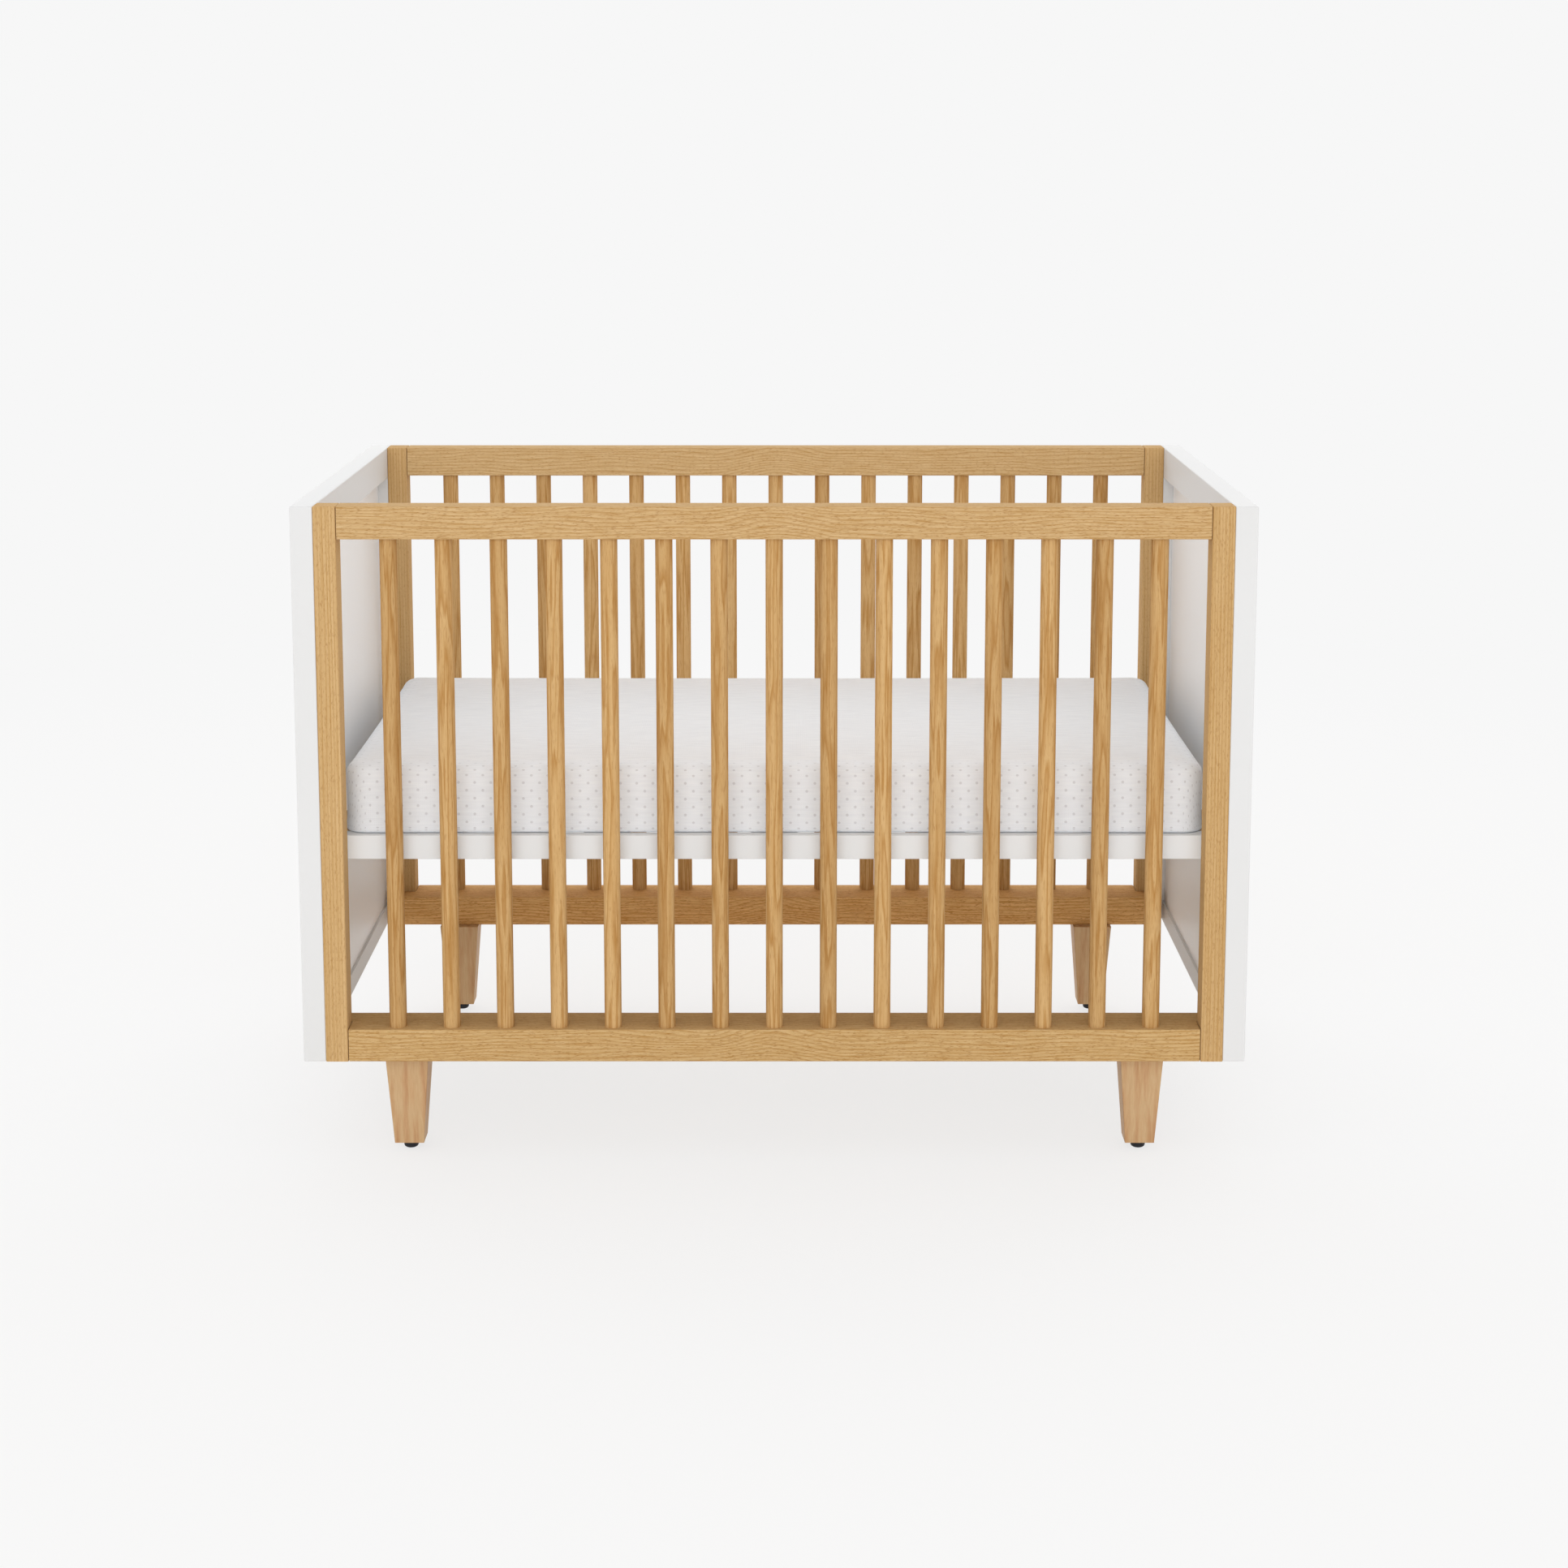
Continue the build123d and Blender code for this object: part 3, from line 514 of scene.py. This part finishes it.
def mattress_net(low, high):
    """Cover of the foam block before it swells: rounded corners and rims, in even cells, crowned and drawn in."""
    size = high - low
    half = size / 2
    middle = low + half
    shape = bmesh.new()
    bmesh.ops.create_cube(shape, size=1.0)
    bmesh.ops.scale(shape, verts=shape.verts, vec=size)
    upright = [e for e in shape.edges if e.verts[0].co.z * e.verts[1].co.z < 0]
    bmesh.ops.bevel(shape, geom=upright, offset=mattress_corner_radius, affect="EDGES",
                    segments=mattress_corner_segments, profile=0.5, material=-1)
    for side, radius, segments in (
        (1, mattress_top_radius, mattress_top_segments),
        (-1, mattress_bottom_radius, mattress_bottom_segments),
    ):
        rim = [e for e in shape.edges if all(abs(v.co.z - side * half.z) < MM for v in e.verts)]
        bmesh.ops.bevel(shape, geom=rim, offset=radius, affect="EDGES", segments=segments, profile=0.5, material=-1)
    runs = (
        ((1, 0, 0), mattress_corner_radius - half.x, half.x - mattress_corner_radius),
        ((0, 1, 0), mattress_corner_radius - half.y, half.y - mattress_corner_radius),
        ((0, 0, 1), mattress_bottom_radius - half.z, half.z - mattress_top_radius),
    )
    for across, start, end in runs:
        cells = round((end - start) / mattress_cell)
        for cut in range(cells + 1):
            place = Vector(across) * (start + (end - start) * cut / cells)
            whole = shape.verts[:] + shape.edges[:] + shape.faces[:]
            bmesh.ops.bisect_plane(shape, geom=whole, dist=0.01 * MM, plane_co=place, plane_no=across)
    for vert in shape.verts:
        bow_x = 1 - (vert.co.x / half.x) ** 2
        bow_y = 1 - (vert.co.y / half.y) ** 2
        rise = (vert.co.z + half.z) / size.z
        vert.co.x *= 1 - mattress_short_side_draw_in / half.x * bow_y
        vert.co.y *= 1 - mattress_long_side_draw_in / half.y * bow_x
        vert.co.z += mattress_crown * bow_x * bow_y * rise
    bmesh.ops.translate(shape, verts=shape.verts, vec=middle)
    mesh = bpy.data.meshes.new("mattress_net")
    shape.to_mesh(mesh)
    shape.free()
    return mesh


def make_mattress():
    """Foam mattress in its fitted sheet: the CAD block, swollen under its cover, with cloth laid out for the print."""
    low, high = (Vector(corner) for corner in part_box("mattress"))
    inset = Vector((mattress_start_inset, mattress_start_inset, 0))
    lowered = Vector((0, 0, mattress_start_inset))
    even = mattress_net(low + inset, high - inset - lowered)
    for vertex, point in zip(even.vertices, swollen(even.copy())):
        vertex.co = point

    shape = bmesh.new()
    shape.from_mesh(even)
    shape.normal_update()
    top_level = max(v.co.z for v in shape.verts)
    cloth_map = shape.loops.layers.uv.new("cloth")
    laid_out = {}
    for vert in shape.verts:
        x, y, z = vert.co
        outward = Vector((vert.normal.x, vert.normal.y))
        drop = (top_level - z) * outward.length
        facing = outward.normalized() if outward.length else outward
        laid_out[vert] = (x + drop * facing.x, y + drop * facing.y)
    for face in shape.faces:
        face.smooth = True
        for corner in face.loops:
            corner[cloth_map].uv = laid_out[corner.vert]
    sewn = bpy.data.meshes.new("fitted_sheet_mattress")
    shape.to_mesh(sewn)
    shape.free()
    sewn.materials.append(percale((high.x, high.y)))
    mattress = bpy.data.objects.new("fitted_sheet_mattress", sewn)
    bpy.context.scene.collection.objects.link(mattress)
    finer = mattress.modifiers.new("finer_net", "SUBSURF")
    finer.levels = 1
    finer.render_levels = 1
    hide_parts("mattress")
    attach(mattress, "mattress")


def seen_by_camera(tree):
    """1 for what the camera sees, also in a shine or through glass, and 0 for light that falls on the crib."""
    ray = add(tree, "ShaderNodeLightPath").outputs
    seen = add(tree, "ShaderNodeMath", {0: ray["Is Camera Ray"], 1: ray["Is Glossy Ray"]},
               operation="MAXIMUM").outputs[0]
    return add(tree, "ShaderNodeMath", {0: seen, 1: ray["Is Transmission Ray"]}, operation="MAXIMUM").outputs[0]


# Matt white paper of the studio floor: it takes the crib's soft shadow, and glows more and more away from the crib
# until it is as white as the backdrop.
def pale_floor():
    material, tree, shader = new_material("pale_floor")
    place = add(tree, "ShaderNodeTexCoord").outputs["Object"]
    away = add(tree, "ShaderNodeVectorMath", {0: place}, operation="LENGTH").outputs["Value"]
    glow = add(tree, "ShaderNodeMapRange", {
        "Value": away, "From Min": floor_fade_start, "From Max": floor_fade_end, "To Min": floor_glow, "To Max": 1.0,
    }, interpolation_type="SMOOTHSTEP").outputs["Result"]
    share = add(tree, "ShaderNodeMath", {0: seen_by_camera(tree), 1: glow}, operation="MULTIPLY").outputs[0]
    white = add(tree, "ShaderNodeEmission", {"Color": colour(backdrop_white), "Strength": 1.0})
    mixed = add(tree, "ShaderNodeMixShader", {0: share, 1: shader.outputs[0], 2: white.outputs[0]})
    end = [n for n in tree.nodes if n.bl_idname == "ShaderNodeOutputMaterial"][0]
    tree.links.new(mixed.outputs[0], end.inputs["Surface"])
    shader.inputs["Base Color"].default_value = colour(floor_white)
    shader.inputs["Roughness"].default_value = 0.9
    shader.inputs["Specular IOR Level"].default_value = 0.0
    return material


def make_floor():
    """Pale floor under the crib."""
    mesh = bpy.data.meshes.new("floor")
    shape = bmesh.new()
    bmesh.ops.create_grid(shape, x_segments=1, y_segments=1, size=floor_side / 2)
    shape.to_mesh(mesh)
    shape.free()
    mesh.materials.append(pale_floor())
    floor = bpy.data.objects.new("floor", mesh)
    bpy.context.scene.collection.objects.link(floor)


def make_studio():
    """White all round the crib: the camera sees a plain backdrop, and the crib is lit by an even dome."""
    world = bpy.data.worlds.new("white_studio")
    bpy.context.scene.world = world
    world.use_nodes = True
    tree = world.node_tree
    tree.nodes.clear()
    dome = add(tree, "ShaderNodeBackground", {"Color": colour("FFFFFF"), "Strength": dome_strength})
    backdrop = add(tree, "ShaderNodeBackground", {"Color": colour(backdrop_white), "Strength": 1.0})
    mixed = add(tree, "ShaderNodeMixShader", {0: seen_by_camera(tree), 1: dome.outputs[0], 2: backdrop.outputs[0]})
    add(tree, "ShaderNodeOutputWorld", {"Surface": mixed.outputs[0]})


def make_lamps():
    """A soft lamp on each side of the crib. A lamp's turn is the angle from the front, round by the right."""
    for name, turn, strength, height, spread in (
        ("front_lamp", 0, front_lamp_strength, front_lamp_height, front_lamp_spread),
        ("right_lamp", math.pi / 2, side_lamp_strength, other_lamp_height, other_lamp_spread),
        ("rear_lamp", math.pi, rear_lamp_strength, other_lamp_height, other_lamp_spread),
        ("left_lamp", -math.pi / 2, side_lamp_strength, other_lamp_height, other_lamp_spread),
    ):
        lamp_data = bpy.data.lights.new(name, "SUN")
        lamp_data.energy = strength
        lamp_data.angle = spread
        lamp = bpy.data.objects.new(name, lamp_data)
        lamp.rotation_euler = (math.pi / 2 - height, 0, turn)
        bpy.context.scene.collection.objects.link(lamp)


def make_camera():
    """Camera at the photograph's viewing angle."""
    data = bpy.data.cameras.new("camera")
    data.lens = camera_lens
    data.sensor_width = camera_sensor
    data.shift_y = camera_shift
    camera = bpy.data.objects.new("camera", data)
    camera.location = camera_place
    camera.rotation_euler = (math.pi / 2 - camera_tilt, 0, 0)
    bpy.context.scene.collection.objects.link(camera)
    bpy.context.scene.camera = camera


bpy.context.scene.view_settings.view_transform = "Standard"
make_camera()
make_floor()
make_studio()
make_lamps()
dress_frame()
make_mattress()
